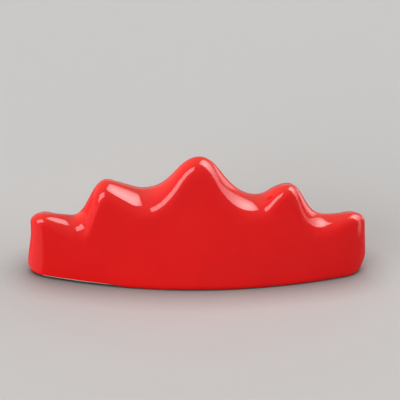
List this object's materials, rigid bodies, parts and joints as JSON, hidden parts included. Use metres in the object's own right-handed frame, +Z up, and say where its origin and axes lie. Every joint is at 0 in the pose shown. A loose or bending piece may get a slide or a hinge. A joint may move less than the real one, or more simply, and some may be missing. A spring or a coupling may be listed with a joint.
{
  "type": "brush rest",
  "caption": "Mountain-shaped porcelain brush rest in glossy red glaze: a long lens-shaped body with rounded crests and low notches between them that hold brush handles.",
  "frame": {"origin": "on the table under the middle of the whole length, in the plane of the foot", "axes": "+Z up out of the foot, +X along the length towards the right end, -Y towards the front face"},
  "size_m": [0.124, 0.027, 0.047],
  "materials": {
    "red_glaze": "opaque red glaze, high gloss",
    "bare_porcelain": "fired white porcelain, matt and bare"
  },
  "bodies": {
    "root": {"porcelain_body": "bare_porcelain", "red_glaze": "red_glaze"}
  },
  "joints": []
}
